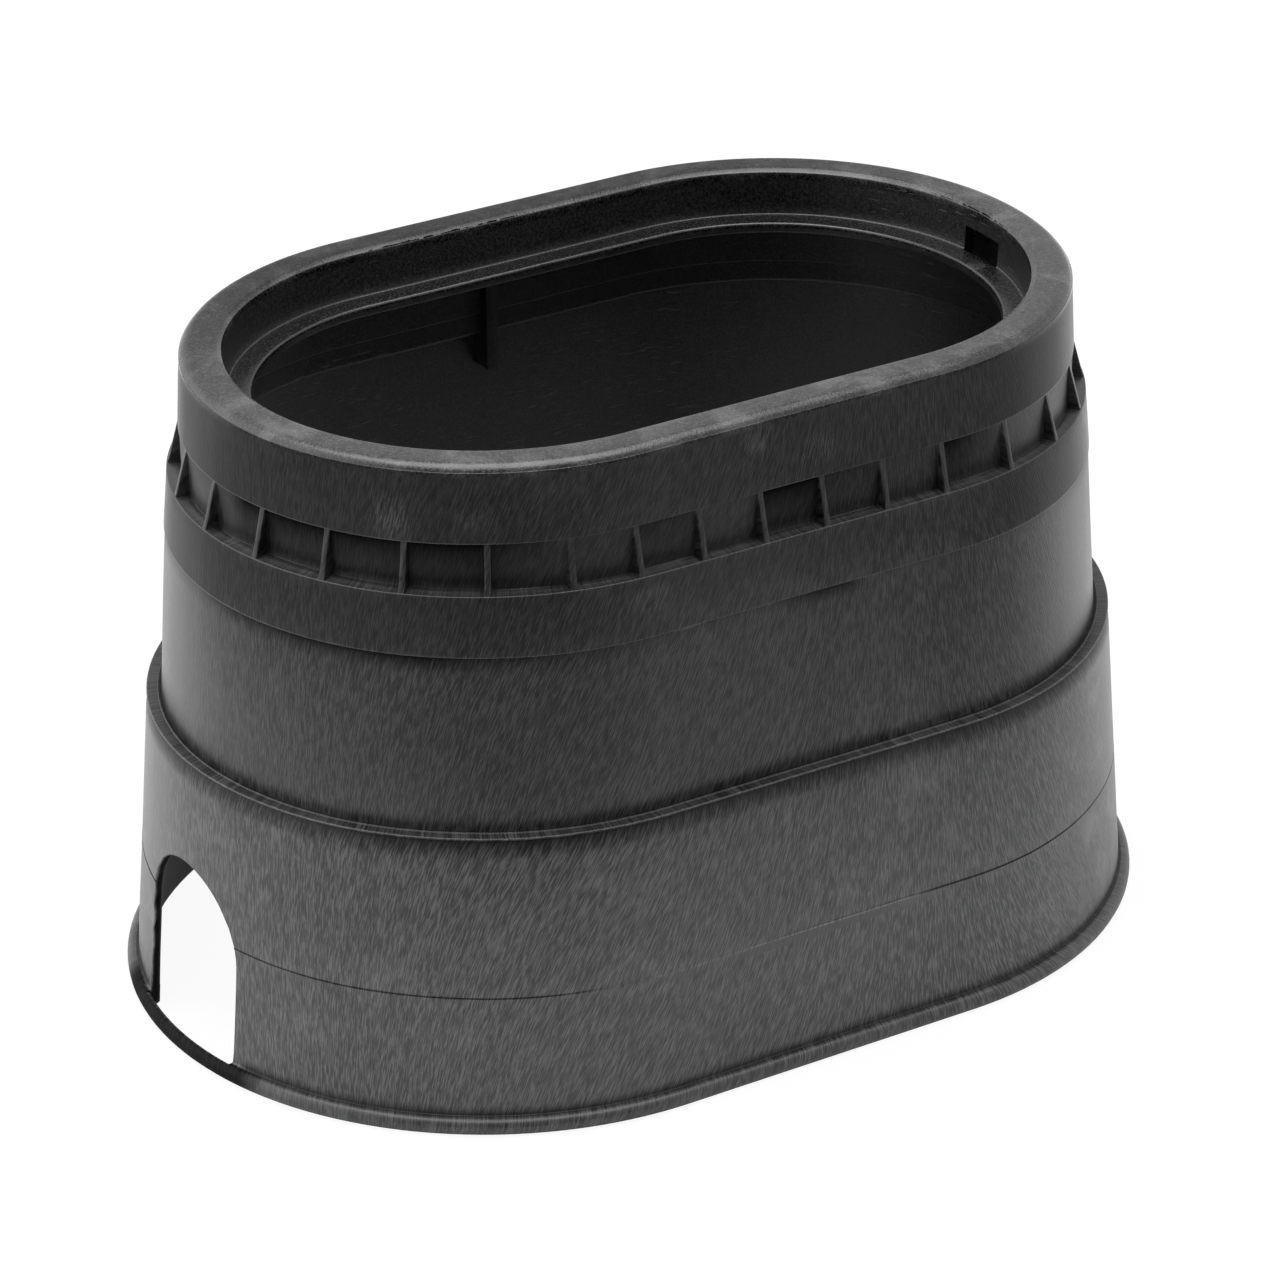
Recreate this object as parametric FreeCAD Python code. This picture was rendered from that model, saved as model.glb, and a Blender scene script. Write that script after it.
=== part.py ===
import FreeCAD, Part
import math
import os

from FreeCAD import Vector

# Irrigation valve box: one moulded oval shell, open at the top and at the bottom.
# It stands on z = 0 with its long axis along X and its middle on the Z axis.
# The oval is a straight spine with a round end about each end of it, so every
# radius below is a distance from that spine, the same all the way round.

# Overall form
height = 305.0
spine_half = 76.0
wall = 4.5

# Rim: an inverted channel round the mouth, with a crowned top
mouth_r = 115.0
rim_width = 18.5
rim_thick = 5.0
crown_round = 5.3
crown_drop = 2.8

# Lid seat: a flat ledge at the foot of the recess wall
seat_depth = 22.0
seat_width = 11.3
seat_thick = 5.0
seat_ease = 1.4
recess_taper = 1.4
recess_wall = 5.2

# Collar: the outer wall of the rim, over a shallow groove and its shelf
collar_height = 35.2
collar_draft_deg = 3.1
groove_height = 21.5
groove_recess = 1.0
shelf_width = 7.0
shelf_thick = 6.0
shelf_ease = 0.8

# Band: slightly proud of the upper wall that it ends
band_height = 27.8
band_proud = 0.5
band_draft_deg = 4.9
upper_draft_deg = 3.75

# Shoulder: the step half way up
shoulder_z = 140.0
shoulder_width = 6.6
shoulder_ease = 1.2

# Skirt: the wide lower wall, with a rolled bead round its foot
skirt_draft_deg = 4.05
bead_reach = 5.0
bead_height = 7.8
bead_round = 4.2
bead_ease = 2.4

# Gussets: thin triangular fins that prop the collar on the shelf
gusset_inset = 0.9
gusset_tip_inset = 0.4
gusset_root_thick = 3.2
gusset_edge_thick = 2.4
end_gussets = 11
end_gusset_pitch_deg = 15.0
side_gussets = 6
side_gusset_overhang = 2.0
side_gusset_shift = -3.5

# Stiffening rib down the inside of each long wall
rib_thick = 6.0
rib_depth = 4.8
rib_drop = 17.3

# Arched pipe cut-out through both ends, with the bead left as a strap across its foot
cutout_half_width = 37.8
cutout_top_z = 90.9
cutout_shift = -3.7
strap_height = 6.6
strap_width = 5.2

# Latch slot through the recess wall at both ends, level with the lid seat
slot_width = 26.0
slot_height = 11.5

# Overlap that joins one volume to the next, and the gap below which two points
# of the section are one
bite = 1.2
seam = 0.001

# Levels, worked down from the rim and up from the ground
crown_z = height - crown_drop
rim_under_z = height - rim_thick
seat_z = height - seat_depth
seat_under_z = seat_z - seat_thick
collar_z = height - collar_height
shelf_z = collar_z - groove_height
shelf_under_z = shelf_z - shelf_thick
band_z = shelf_z - band_height
rib_foot_z = shelf_under_z - rib_drop
shoulder_under_z = shoulder_z - wall
cutout_spring_z = cutout_top_z - cutout_half_width


def widened(r, drop, draft_deg):
    """Radius of a drafted wall that starts at r, a given drop further down."""
    return r + drop * math.tan(math.radians(draft_deg))


# Radii, worked outward from the mouth and then down the walls
crown_r = mouth_r + rim_width
seat_wall_r = mouth_r - recess_taper
seat_inner_r = seat_wall_r - seat_width
channel_inner_r = seat_wall_r + recess_wall
collar_r = widened(crown_r, crown_z - collar_z, collar_draft_deg)
neck_r = collar_r - groove_recess
neck_inner_r = neck_r - wall
rib_face_r = neck_inner_r - rib_depth
band_top_r = neck_r + shelf_width
gusset_foot_r = band_top_r - gusset_inset
gusset_tip_r = collar_r - gusset_tip_inset


def band_r(z):
    """Outer radius of the band at height z."""
    return widened(band_top_r, shelf_z - z, band_draft_deg)


def upper_r(z):
    """Outer radius of the upper wall at height z."""
    return widened(band_r(band_z) - band_proud, band_z - z, upper_draft_deg)


def skirt_r(z):
    """Outer radius of the skirt at height z."""
    return widened(upper_r(shoulder_z) + shoulder_width, shoulder_z - z, skirt_draft_deg)


bead_r = skirt_r(0) + bead_reach


def sharp(r, z):
    """Corner of the section that stays sharp."""
    return r, z, None, 0.0


def eased(r, z, size):
    """Corner of the section that is broken by a flat as far along both sides."""
    return r, z, "flat", size


def rolled(r, z, radius):
    """Corner of the section that is rounded by an arc."""
    return r, z, "arc", radius


def outer_corners():
    """Corners of the section's outside, from the foot to the rim."""
    crown_angle = math.acos(1 - crown_drop / crown_round)
    crown_corner = crown_round * (math.sin(crown_angle) - math.tan(crown_angle / 2))
    return [
        eased(bead_r, 0.0, bead_ease),
        rolled(bead_r, bead_height, bead_round),
        sharp(skirt_r(bead_height), bead_height),
        eased(skirt_r(shoulder_z), shoulder_z, shoulder_ease),
        sharp(upper_r(shoulder_z), shoulder_z),
        sharp(upper_r(band_z), band_z),
        sharp(band_r(band_z), band_z),
        eased(band_top_r, shelf_z, shelf_ease),
        sharp(neck_r, shelf_z),
        sharp(neck_r, collar_z),
        sharp(collar_r, collar_z),
        sharp(crown_r, crown_z),
        rolled(crown_r - crown_corner, height, crown_round),
    ]


def inner_corners():
    """Corners of the section's inside, from the rim to the foot."""
    return [
        sharp(mouth_r, height),
        sharp(seat_wall_r, seat_z),
        eased(seat_inner_r, seat_z, seat_ease),
        eased(seat_inner_r, seat_under_z, seat_ease),
        sharp(channel_inner_r, seat_under_z),
        sharp(channel_inner_r, rim_under_z),
        sharp(neck_inner_r, rim_under_z),
        sharp(neck_inner_r, shelf_under_z),
        sharp(band_r(shelf_under_z) - wall, shelf_under_z),
        sharp(upper_r(shoulder_under_z) - wall, shoulder_under_z),
        sharp(skirt_r(shoulder_under_z) - wall, shoulder_under_z),
        sharp(skirt_r(0) - wall, 0.0),
    ]


def section_point(r, z):
    """Point of the half-section that stands on the -Y side of the spine."""
    return Vector(0.0, -r, z)


def section_wire(corners):
    """Closed wire through the corners, each one sharp, eased or rolled."""
    points = [section_point(r, z) for r, z, _, _ in corners]
    spans = []
    edges = []
    for i, (_, _, kind, size) in enumerate(corners):
        here = points[i]
        back = (points[i - 1] - here).normalize()
        ahead = (points[(i + 1) % len(points)] - here).normalize()
        half_angle = back.getAngle(ahead) / 2
        reach = size / math.tan(half_angle) if kind == "arc" else size
        enter = here + back * reach
        leave = here + ahead * reach
        spans.append((enter, leave))
        if kind == "arc":
            inward = (back + ahead).normalize()
            middle = here + inward * (size / math.sin(half_angle) - size)
            edges.append(Part.Arc(enter, middle, leave).toShape())
        if kind == "flat":
            edges.append(Part.makeLine(enter, leave))
    for i, (_, leave) in enumerate(spans):
        enter = spans[(i + 1) % len(spans)][0]
        if leave.distanceToPoint(enter) > seam:
            edges.append(Part.makeLine(leave, enter))
    return Part.Wire(Part.__sortEdges__(edges))


def turned(shape, degrees):
    """Copy of a shape turned about the Z axis."""
    copy = shape.copy()
    copy.rotate(Vector(0, 0, 0), Vector(0, 0, 1), degrees)
    return copy


def moved(shape, x):
    """Copy of a shape moved along X."""
    copy = shape.copy()
    copy.translate(Vector(x, 0, 0))
    return copy


def oval_ring(corners):
    """Carry a half-section round the oval: two straight sides, two round ends."""
    section = Part.Face(section_wire(corners))
    side = moved(section, -spine_half).extrude(Vector(2 * spine_half, 0, 0))
    end = moved(section.revolve(Vector(0, 0, 0), Vector(0, 0, 1), 180), spine_half)
    return side.multiFuse([end, turned(side, 180), turned(end, 180)]).removeSplitter()


def plate(corners, thickness):
    """Flat plate with a (radius, z) outline, centred on the plane x = 0."""
    points = [section_point(r, z) for r, z in corners]
    face = Part.Face(Part.makePolygon(points + points[:1]))
    return moved(face, -thickness / 2).extrude(Vector(thickness, 0, 0))


def gusset():
    """One fin on the -Y side, thinner at its sloping edge than at its root."""
    root_r = neck_r - bite
    fin = plate(
        [
            (root_r, shelf_z - bite),
            (gusset_foot_r, shelf_z - bite),
            (gusset_foot_r, shelf_z),
            (gusset_tip_r, collar_z),
            (root_r, collar_z + bite),
        ],
        gusset_root_thick,
    )
    root = gusset_root_thick / 2
    edge = gusset_edge_thick / 2
    low = shelf_z - 2 * bite
    plan = [(-root, root_r), (root, root_r), (edge, gusset_foot_r), (-edge, gusset_foot_r)]
    points = [Vector(x, -r, low) for x, r in plan]
    taper = Part.Face(Part.makePolygon(points + points[:1]))
    return fin.common(taper.extrude(Vector(0, 0, collar_z - low + 2 * bite)))


def gusset_ring():
    """Fins at even angles round both ends and at an even pitch along both sides."""
    fin = gusset()
    fins = []
    for facing, end_x in ((0, spine_half), (180, -spine_half)):
        for i in range(end_gussets):
            angle = facing + 90 + (i - (end_gussets - 1) / 2) * end_gusset_pitch_deg
            fins.append(moved(turned(fin, angle), end_x))
        for i in range(side_gussets):
            along = 2 * i / (side_gussets - 1) - 1
            x = side_gusset_shift + along * (spine_half + side_gusset_overhang)
            fins.append(moved(turned(fin, facing), x))
    return fins


def inner_ribs():
    """Rib on each long wall, from below the shelf up into the rim channel."""
    rib = plate(
        [
            (rib_face_r, rib_foot_z),
            (band_r(rib_foot_z) - wall + bite, rib_foot_z),
            (band_r(shelf_under_z) - wall + bite, shelf_under_z + bite),
            (neck_inner_r + bite, shelf_under_z + bite),
            (neck_inner_r + bite, rim_under_z + bite),
            (rib_face_r, rim_under_z + bite),
        ],
        rib_thick,
    )
    return [rib, turned(rib, 180)]


def pipe_cutouts():
    """Arch along X through both ends above the strap, and its foot inside the strap."""
    left = cutout_shift - cutout_half_width
    right = cutout_shift + cutout_half_width
    foot_left = Vector(0, left, strap_height)
    foot_right = Vector(0, right, strap_height)
    spring_left = Vector(0, left, cutout_spring_z)
    spring_right = Vector(0, right, cutout_spring_z)
    top = Vector(0, cutout_shift, cutout_top_z)
    outline = Part.Wire([
        Part.makeLine(foot_left, foot_right),
        Part.makeLine(foot_right, spring_right),
        Part.Arc(spring_right, top, spring_left).toShape(),
        Part.makeLine(spring_left, foot_left),
    ])
    reach = spine_half + bead_r + bite
    arch = moved(Part.Face(outline), -reach).extrude(Vector(2 * reach, 0, 0))
    below = Vector(-reach, left, -bite)
    foot = Part.makeBox(2 * reach, 2 * cutout_half_width, strap_height + bite, below)
    drum = Part.makeCylinder(bead_r - strap_width, strap_height + bite, Vector(0, 0, -bite))
    drums = moved(drum, spine_half).fuse(moved(drum, -spine_half))
    return [arch, foot.common(drums)]


def latch_slots():
    """Flat tool along X that opens both recess walls into the rim channel."""
    reach = spine_half + (channel_inner_r + neck_inner_r) / 2
    corner = Vector(-reach, -slot_width / 2, seat_z)
    return Part.makeBox(2 * reach, slot_width, slot_height, corner)


shell = oval_ring(outer_corners() + inner_corners())
body = shell.multiFuse(gusset_ring() + inner_ribs())
body = body.cut(pipe_cutouts() + [latch_slots()])

os.makedirs("parts", exist_ok=True)
body.exportStep("parts/valve_box_body.step")
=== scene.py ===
"""Looks of an irrigation valve box: a moulded black body on a pale studio floor.

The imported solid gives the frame. One fine surface, worked out as a half-section
carried round an oval, stands for it and adds the roundings, mould lines, sinks
and flash that the solid leaves out.
"""

import math

import bmesh
import bpy
import numpy as np
from bpy.props import FloatProperty, FloatVectorProperty, PointerProperty
from mathutils import Matrix


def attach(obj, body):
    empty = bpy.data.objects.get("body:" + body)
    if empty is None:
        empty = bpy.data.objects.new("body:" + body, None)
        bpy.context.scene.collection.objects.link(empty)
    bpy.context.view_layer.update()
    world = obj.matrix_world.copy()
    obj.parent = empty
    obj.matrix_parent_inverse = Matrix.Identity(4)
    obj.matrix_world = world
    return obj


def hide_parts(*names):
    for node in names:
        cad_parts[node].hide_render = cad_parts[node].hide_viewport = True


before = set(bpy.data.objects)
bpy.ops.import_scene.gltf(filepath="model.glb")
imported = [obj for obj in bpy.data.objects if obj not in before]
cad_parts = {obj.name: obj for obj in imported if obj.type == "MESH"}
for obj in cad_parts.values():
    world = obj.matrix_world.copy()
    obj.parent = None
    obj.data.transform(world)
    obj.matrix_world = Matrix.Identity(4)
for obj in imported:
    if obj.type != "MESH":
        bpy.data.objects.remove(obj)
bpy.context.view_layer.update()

bl_info = {
    "name": "Valve box body",
    "version": (1, 0, 0),
    "blender": (4, 5, 0),
    "location": "View3D > Sidebar > Valve box",
    "description": "Moulded body of an oval irrigation valve box, with its finish and a studio",
    "category": "Add Mesh",
}

NODE = "valve_box_body"
BODY = "root"
MM = 0.001
# Level directions away from the camera and to its right
HEADING, ACROSS = (0.524, 0.852, 0.0), (0.852, -0.524, 0.0)

# Oval: a straight spine with a round end about each end of it. Distances round it are
# measured at the gussets, and LAP_R is the radius of a circle of the same girth. All
# lengths from here to the materials are in millimetres.
SPINE_HALF = 76.0
GIRTH_R = 137.5
END_GIRTH = math.pi * GIRTH_R
GIRTH = 4 * SPINE_HALF + 2 * END_GIRTH
LAP_R = GIRTH / (2 * math.pi)
TURNS = [0, SPINE_HALF, SPINE_HALF + END_GIRTH, 3 * SPINE_HALF + END_GIRTH,
         3 * SPINE_HALF + 2 * END_GIRTH, GIRTH]
TURN_X = [0, -SPINE_HALF, -SPINE_HALF, SPINE_HALF, SPINE_HALF, 0]
TURN_DEG = [90, 90, 270, 270, 450, 450]

# Levels and radii that several features share
HEIGHT = 305.0
WALL = 4.5
SKIRT_TOP_R, SHOULDER_Z, SKIRT_DRAFT = 155.01, 140.0, math.tan(math.radians(4.05))
UPPER_TOP_R, BAND_Z, UPPER_DRAFT = 143.14, 220.5, math.tan(math.radians(3.75))
BAND_TOP_R, SHELF_Z, BAND_DRAFT = 141.25, 248.3, math.tan(math.radians(4.9))
COLLAR_R, COLLAR_Z = 135.25, 269.8
NECK_R, NECK_INNER_R = 134.25, 129.75
CROWN_R, CROWN_Z, CROWN_ROUND = 133.3, 302.2, 5.3
MOUTH_R, SEAT_WALL_R, SEAT_INNER_R = 115.0, 113.6, 102.3
SEAT_Z, SEAT_UNDER_Z, CHANNEL_R, RIM_UNDER_Z = 283.0, 278.0, 118.8, 300.0
SHELF_UNDER_Z, SHOULDER_UNDER_Z = 242.3, 135.5
BEAD_R, BEAD_Z = 169.7, 7.8
PARTING_Z, PARTING_OFF = 64.4, np.array([-1.0, -0.2, 0.2, 1.0])
SINK_Z, LIP_UNDER_Z, STEP_SINK_Z = 129.5, 138.3, 212.0
FLOOR_LINE_R, INNER_LINE_Z = 137.4, 252.5

# Gussets, ribs, latch slots and pipe cut-outs
END_FIN_DEG = 15.0
END_FINS = np.arange(-5, 6) * END_FIN_DEG
SIDE_FIN_X = np.array([-81.5, -50.3, -19.1, 12.1, 43.3, 74.5])
FIN_SIDES = np.array([-1.75, -1.3, -0.9, 0.9, 1.3, 1.75])
FIN_HEIGHTS = np.array([0.0, 0.94, 1.0, 1.0, 0.94, 0.0])
RIB_R, RIB_FOOT_Z = 124.95, 225.0
RIB_SIDES = np.array([-3.3, -2.95, -2.6, 2.6, 2.95, 3.3])
RIB_HEIGHTS = np.array([0.0, 0.96, 1.0, 1.0, 0.96, 0.0])
SLOT_HALF, SLOT_HEAD_Z = 13.0, 294.5
SLOT_DEG = math.degrees(math.asin(SLOT_HALF / SEAT_WALL_R))
HOLE_HALF, HOLE_Y, HOLE_SPRING_Z = 37.8, -3.7, 53.1
STRAP_Z, STRAP_R = 7.5, 164.73
STRAP_ROUND = ((166.2, 165.1, STRAP_R), (7.35, 6.6, 4.6))
HOLE_CAP_Z, HOLE_OVER_Z, HOLE_EASE = 79.0, 101.0, 0.35
HOLE_DEG = (-14.3, 17.5)
SKIRT_OVER_GIRTH = 1.15
SCALLOP, SCALLOP_PITCH, SCALLOP_LOW, SCALLOP_HIGH = 3.0, 13.5, 12.0, 72.0

# Torn flash: name, painted shade, from and to round the oval, radius, height, way it stands, longest tip,
# seed
FLASH = (
    ("mouth_flash_back", 0.8, -26.0, 84.0, MOUTH_R + 0.5, HEIGHT - 1.5, (-0.4, 0.9165), 1.5, 11),
    ("mouth_flash_end", 0.8, 846.0, 926.0, MOUTH_R + 0.5, HEIGHT - 1.5, (-0.4, 0.9165), 1.5, 12),
    ("seat_flash_end", 0.0, 864.0, 940.0, SEAT_INNER_R + 0.2, SEAT_Z - 0.5, (-0.8, 0.6), 0.9, 13),
    ("seat_flash_back", 0.0, -20.0, -4.0, SEAT_INNER_R + 0.2, SEAT_Z - 0.5, (-0.8, 0.6), 1.6, 14),
)

# Depth of the groove under the collar and of the step under the band, round the
# oval. Mould halves never meet quite alike, so both come and go.
GROOVE_AT = [0, 60, 120, 200, 292, 308, 318, 434, 438, 470, 500, 504, 531, 536, 562, 567,
             594, 598, 625, 630, 656, 661, 690, 700, 740, 780, 900, 1000, 1090, GIRTH]
GROOVE = [0.7, 0.3, 0.9, 0.6, 0.5, 0.5, 1.25, 1.25, 0.85, 0.14, 0.2, 0.6, 0.5, 0.08, 0.08, 1.15,
          1.0, 0.5, 0.4, 0.08, 0.08, 1.1, 0.1, 0.15, 0.3, 0.6, 0.8, 0.25, 0.9, 0.7]
STEP_AT = [0, 120, 220, 292, 316, 350, 405, 440, 475, 530, 562, 590, 603, 607, 700, 800, 950, GIRTH]
STEP = [0.6, 0.9, 0.5, 0.5, 0.9, 1.6, 1.6, 0.8, 0.5, 0.3, 0.2, 1.2, 1.3, 0.2, 0.25, 0.5, 0.9, 0.6]
# How much painted shade darkens and dulls the plastic at the head of a groove, a step and the
# skirt's sink, in the corner above the bead, on the strap, inside, through a cut-out, on the back
# of the rim and on the shoulder
BAY_SHADE, STEP_SHADE, SINK_SHADE, FOOT_SHADE = 0.95, 0.95, 0.6, 0.6
STRAP_SHADE, INNER_SHADE, CUT_SHADE, RIM_SHADE, LEDGE_SHADE = 0.85, 0.25, 0.85, 0.5, 0.3
# The same painted shade on the collar and the band, round the oval
END_SHADE_AT = [0, 220, 255, 300, 335, 430, 470, 660, 700, 740, 790, GIRTH]
END_SHADE = [0.0, 0.0, 0.5, 0.5, 0.3, 0.2, 0.0, 0.0, 0.5, 0.5, 0.0, 0.0]
BAND_END_SHADE = 0.9
# How far from the middle of the cut-out the strap has painted shade, and over what length that fades
STRAP_DARK, STRAP_FADE = 42.0, 16.0
# Unevenness: seed, number of waves, shortest and longest wave
PARTING_WAVES, WALL_WAVES = (3, 4, 260.0, 420.0), (7, 9, 45.0, 170.0)
# Where it grows above the foot and fades below the rim: a height and the length over which it does so
CALM_FOOT, CALM_RIM = (6.0, 30.0), (292.0, 8.0)


def skirt_r(z):
    """Outer radius of the skirt at height z: a straight draft below the shoulder."""
    return SKIRT_TOP_R + (SHOULDER_Z - z) * SKIRT_DRAFT


def upper_r(z):
    """Outer radius of the upper wall at height z: a straight draft below the band."""
    return UPPER_TOP_R + (BAND_Z - z) * UPPER_DRAFT


def band_r(z):
    """Outer radius of the band at height z: a straight draft below the shelf."""
    return BAND_TOP_R + (SHELF_Z - z) * BAND_DRAFT


def inner_r(z):
    """Inner radius of the wall between the shelf and the shoulder: a straight line."""
    low = upper_r(SHOULDER_UNDER_Z) - WALL
    high = band_r(SHELF_UNDER_Z) - WALL
    return low + (high - low) * (z - SHOULDER_UNDER_Z) / (SHELF_UNDER_Z - SHOULDER_UNDER_Z)


def recess_r(z):
    """Radius of the recess wall at height z: a straight taper from mouth to seat."""
    return SEAT_WALL_R + (MOUTH_R - SEAT_WALL_R) * (z - SEAT_Z) / (HEIGHT - SEAT_Z)


def section_corners():
    """Corners of the closed half-section, from the inner foot round the outside to the inside.

    Each row is name, radius and height, then rounding, steps of the rounding, and plain rows
    between this corner and the next, which a row leaves out where all three are 0.
    """
    turn = math.acos(1 - (HEIGHT - CROWN_Z) / CROWN_ROUND)
    crown_in = CROWN_ROUND * (math.sin(turn) - math.tan(turn / 2))
    return [
        ("foot_edge", skirt_r(0) - WALL, 0.0, 0.8, 2, 2),
        ("strap_in", STRAP_ROUND[0][0], 0.0),
        ("bead_base", BEAD_R, 0.0, 3.3, 5, 0),
        ("bead_top", BEAD_R, BEAD_Z, 4.1, 6, 0),
        ("skirt_foot", skirt_r(BEAD_Z), BEAD_Z, 1.0, 3, 13),
        *[(f"parting_{off}", skirt_r(PARTING_Z + off), PARTING_Z + off, 0.0, 0, fill)
          for off, fill in zip(PARTING_OFF, (0, 0, 0, 4))],
        ("hole_over", skirt_r(HOLE_OVER_Z), HOLE_OVER_Z, 0.0, 0, 2),
        ("sink_foot", skirt_r(SINK_Z), SINK_Z, 0.0, 0, 6),
        ("lip_under", skirt_r(LIP_UNDER_Z), LIP_UNDER_Z),
        ("lip", skirt_r(SHOULDER_Z) + 0.2, SHOULDER_Z + 0.2, 0.65, 4, 0),
        ("shelf_line_out", upper_r(SHOULDER_Z) + 1.9, SHOULDER_Z),
        ("shelf_line_in", upper_r(SHOULDER_Z) + 1.4, SHOULDER_Z + 0.5),
        ("shoulder_root", upper_r(SHOULDER_Z), SHOULDER_Z - 0.3, 0.0, 0, 9),
        ("step_sink", upper_r(STEP_SINK_Z), STEP_SINK_Z, 0.0, 0, 6),
        ("step_in", upper_r(BAND_Z - 0.05), BAND_Z - 0.05),
        ("band_foot", band_r(BAND_Z), BAND_Z, 0.3, 3, 0),
        ("band_guard", band_r(BAND_Z + 1.0), BAND_Z + 1.0, 0.0, 0, 3),
        ("shelf_edge", BAND_TOP_R, SHELF_Z, 0.6, 3, 0),
        ("floor_low", FLOOR_LINE_R + 0.3, SHELF_Z),
        ("floor_high", FLOOR_LINE_R, SHELF_Z + 0.2),
        ("neck_foot", NECK_R, SHELF_Z + 0.2, 0.5, 2, 5),
        ("neck_top", NECK_R, COLLAR_Z),
        ("fin_tip", NECK_R + 0.5, COLLAR_Z),
        ("collar_foot", COLLAR_R, COLLAR_Z, 0.25, 2, 0),
        ("collar_guard", COLLAR_R - 0.04, COLLAR_Z + 0.8, 0.0, 0, 6),
        ("crown_low", CROWN_R + 0.3, CROWN_Z - 0.3),
        ("crown_high", CROWN_R, CROWN_Z - 0.06),
        ("crown", CROWN_R - crown_in, HEIGHT, CROWN_ROUND, 8, 2),
        ("mouth_top", MOUTH_R + 2.3, HEIGHT, 0.4, 2, 0),
        ("mouth_bevel", MOUTH_R + 0.5, HEIGHT - 1.2),
        ("mouth_edge", MOUTH_R + 0.05, HEIGHT - 1.4, 0.25, 3, 0),
        ("mouth_guard", recess_r(HEIGHT - 2.1), HEIGHT - 2.1, 0.0, 0, 2),
        ("slot_head", recess_r(SLOT_HEAD_Z), SLOT_HEAD_Z, 0.0, 0, 2),
        ("seat_root", SEAT_WALL_R, SEAT_Z, 0.9, 3, 2),
        ("seat_nose", SEAT_INNER_R, SEAT_Z, 1.2, 5, 0),
        ("seat_under", SEAT_INNER_R, SEAT_UNDER_Z, 1.0, 3, 3),
        ("channel_foot", CHANNEL_R, SEAT_UNDER_Z),
        ("slot_sill", CHANNEL_R, SEAT_UNDER_Z + 0.6, 0.0, 0, 5),
        ("slot_lintel", CHANNEL_R, SLOT_HEAD_Z),
        ("channel_head", CHANNEL_R, RIM_UNDER_Z, 0.0, 0, 1),
        ("rib_head", RIB_R, RIM_UNDER_Z),
        ("neck_head", NECK_INNER_R, RIM_UNDER_Z, 0.0, 0, 5),
        ("line_over", NECK_INNER_R, INNER_LINE_Z + 1.1),
        ("line_high", NECK_INNER_R, INNER_LINE_Z + 0.25),
        ("line_low", NECK_INNER_R + 0.4, INNER_LINE_Z - 0.25),
        ("line_below", NECK_INNER_R + 0.38, INNER_LINE_Z - 1.1, 0.0, 0, 1),
        ("shelf_under_over", NECK_INNER_R + 0.15, SHELF_UNDER_Z + 1.6),
        ("shelf_under_in", NECK_INNER_R + 0.1, SHELF_UNDER_Z, 0.5, 2, 1),
        ("shelf_under_out", inner_r(SHELF_UNDER_Z), SHELF_UNDER_Z, 0.6, 2, 0),
        ("shelf_under_below", inner_r(SHELF_UNDER_Z - 1.6), SHELF_UNDER_Z - 1.6, 0.0, 0, 2),
        ("rib_foot", inner_r(RIB_FOOT_Z), RIB_FOOT_Z, 0.0, 0, 8),
        ("ledge_in", inner_r(SHOULDER_UNDER_Z), SHOULDER_UNDER_Z, 1.0, 2, 0),
        ("ledge_out", skirt_r(SHOULDER_UNDER_Z) - WALL, SHOULDER_UNDER_Z, 1.0, 2, 2),
        ("hole_over_in", skirt_r(HOLE_OVER_Z) - WALL, HOLE_OVER_Z, 0.0, 0, 26),
    ]


def unit(v):
    """Rows of v at length 1, and rows of no length left alone."""
    size = np.linalg.norm(v, axis=-1, keepdims=True)
    return v / np.where(size > 1e-9, size, 1.0)


class Section:
    """The half-section as rows of (radius, height), with the first and last row of each corner."""

    def __init__(self, corners):
        """Round each corner by an arc that touches both its sides, and fill the sides evenly.

        An arc of radius a in a corner of half angle h starts a / tan(h) from the corner
        and turns about a point a / sin(h) from it, on the line that halves the corner.
        """
        names, r, z, ease, steps, fill = zip(*[(*row, 0.0, 0, 0)[:6] for row in corners])
        corner = np.stack([r, z], axis=1)
        ease = np.array(ease)[:, None]
        back = unit(np.roll(corner, 1, axis=0) - corner)
        ahead = unit(np.roll(corner, -1, axis=0) - corner)
        half = 0.5 * np.arccos(np.clip((back * ahead).sum(1, keepdims=True), -1, 1))
        enter = corner + back * ease / np.tan(half)
        leave = corner + ahead * ease / np.tan(half)
        centre = corner + unit(back + ahead) * ease / np.sin(half)
        arm, end = enter - centre, leave - centre
        sweep = np.arctan2(arm[:, 0] * end[:, 1] - arm[:, 1] * end[:, 0], (arm * end).sum(1))
        rows, self.first, self.last = [], {}, {}
        for i, name in enumerate(names):
            angle = sweep[i] * np.linspace(0, 1, steps[i] + 1)
            c, s = np.cos(angle), np.sin(angle)
            turned = np.stack([arm[i, 0] * c - arm[i, 1] * s, arm[i, 0] * s + arm[i, 1] * c], 1)
            self.first[name] = len(rows)
            rows += list(centre[i] + turned)
            self.last[name] = len(rows) - 1
            share = np.linspace(0, 1, fill[i] + 2)[1:-1, None]
            following = enter[(i + 1) % len(names)]
            rows += list(leave[i] + (following - leave[i]) * share)
        self.rows = np.array(rows)
        self.count = len(rows)

    def span(self, start, end):
        """Row numbers from start to end, going on past the last row to the first."""
        return np.arange(start, end + 1 + (self.count if end < start else 0)) % self.count

    def part(self, start, end):
        """Row numbers from the first row of one corner to the last row of another."""
        return self.span(self.first[start], self.last[end])

    def along(self, rows):
        """Distance run along the given rows."""
        steps = np.linalg.norm(np.diff(self.rows[rows], axis=0), axis=1)
        return np.concatenate([[0.0], np.cumsum(steps)])


def spine_place(s):
    """Spine point and facing, in radians, at distance s round the oval.

    From the middle of the back it runs along the straight side, round one end, along
    the front, round the other end and back, anticlockwise seen from above.
    """
    s = np.mod(s, GIRTH)
    return np.interp(s, TURNS, TURN_X), np.radians(np.interp(s, TURNS, TURN_DEG))


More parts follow.
